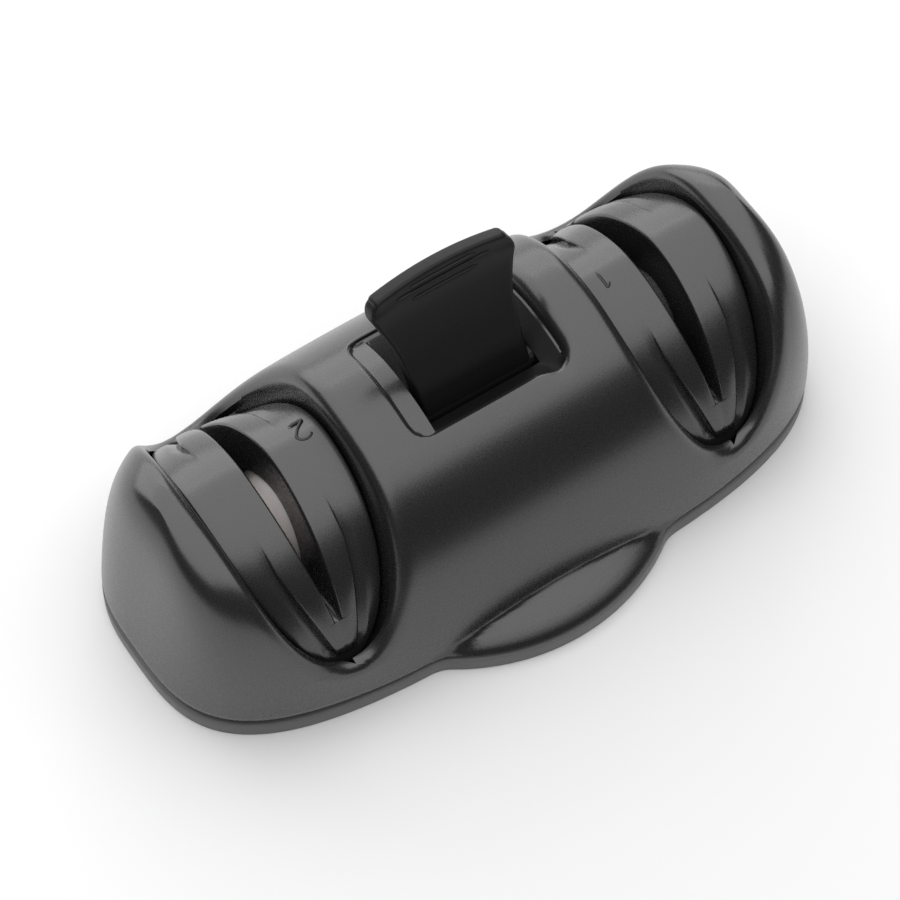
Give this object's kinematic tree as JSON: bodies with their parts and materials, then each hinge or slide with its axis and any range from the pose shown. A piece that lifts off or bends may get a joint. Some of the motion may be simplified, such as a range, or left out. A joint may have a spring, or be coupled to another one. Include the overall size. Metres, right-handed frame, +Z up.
{
  "type": "rolling knife sharpener",
  "caption": "Loaf-shaped tabletop knife sharpener: coarse and fine slots with conical rolling wheels either side of a raised barrel whose lever lifts a suction foot.",
  "frame": {"origin": "on the table under the middle of the base", "axes": "+X along the length towards the coarse station, -Y towards the user, +Z up"},
  "size_m": [0.13, 0.0772, 0.0581],
  "materials": {
    "shell_black": "satin black moulding with a fine spark texture",
    "insert_black": "satin black moulding",
    "base_grey": "matte dark grey moulding",
    "lever_black": "matte black soft-touch moulding",
    "inner_plastic": "plain moulded",
    "cup_rubber": "smooth moulded rubber",
    "steel": "turned",
    "coarse_grit": "grit coated",
    "fine_ceramic": "fine unglazed ceramic"
  },
  "bodies": {
    "housing": {"upper_shell": "shell_black", "base_plate": "base_grey", "coarse_insert": "insert_black", "fine_insert": "insert_black", "coarse_carrier": "inner_plastic", "fine_carrier": "inner_plastic", "coarse_axle": "steel", "fine_axle": "steel", "lever_pin": "steel", "base_screw_front_left": "steel", "base_screw_front_right": "steel", "base_screw_back_left": "steel", "base_screw_back_right": "steel", "carrier_screw_front_left": "steel", "carrier_screw_front_right": "steel", "carrier_screw_back_left": "steel", "carrier_screw_back_right": "steel"},
    "lever": {"lever": "lever_black"},
    "suction": {"suction_cup": "cup_rubber", "cup_stem": "inner_plastic", "stem_pin": "steel"},
    "coarse_wheel_left": {"coarse_wheel_left": "coarse_grit"},
    "coarse_wheel_right": {"coarse_wheel_right": "coarse_grit"},
    "fine_wheel_left": {"fine_wheel_left": "fine_ceramic"},
    "fine_wheel_right": {"fine_wheel_right": "fine_ceramic"}
  },
  "joints": [
    {"name": "lever_fold", "type": "hinge", "parent": "housing", "child": "lever", "pos_m": [0, -0.0052, 0.0342], "axis": [-1, 0, 0], "range_deg": [0, 42]},
    {"name": "cup_lift", "type": "slide", "parent": "housing", "child": "suction", "axis": [0, 0, 1], "range_m": [0, 0.003], "deforming": ["suction_cup"]},
    {"name": "coarse_wheel_left_spin", "type": "hinge", "parent": "housing", "child": "coarse_wheel_left", "pos_m": [0.03809, 0, 0.0155], "axis": [1, 0, 0], "continuous": true},
    {"name": "coarse_wheel_right_spin", "type": "hinge", "parent": "housing", "child": "coarse_wheel_right", "pos_m": [0.03809, 0, 0.0155], "axis": [1, 0, 0], "continuous": true},
    {"name": "fine_wheel_left_spin", "type": "hinge", "parent": "housing", "child": "fine_wheel_left", "pos_m": [-0.03809, 0, 0.0155], "axis": [1, 0, 0], "continuous": true},
    {"name": "fine_wheel_right_spin", "type": "hinge", "parent": "housing", "child": "fine_wheel_right", "pos_m": [-0.03809, 0, 0.0155], "axis": [1, 0, 0], "continuous": true}
  ],
  "couplings": [
    {"joint": "cup_lift", "follows": "lever_fold", "m_per_rad": 0.004092}
  ]
}
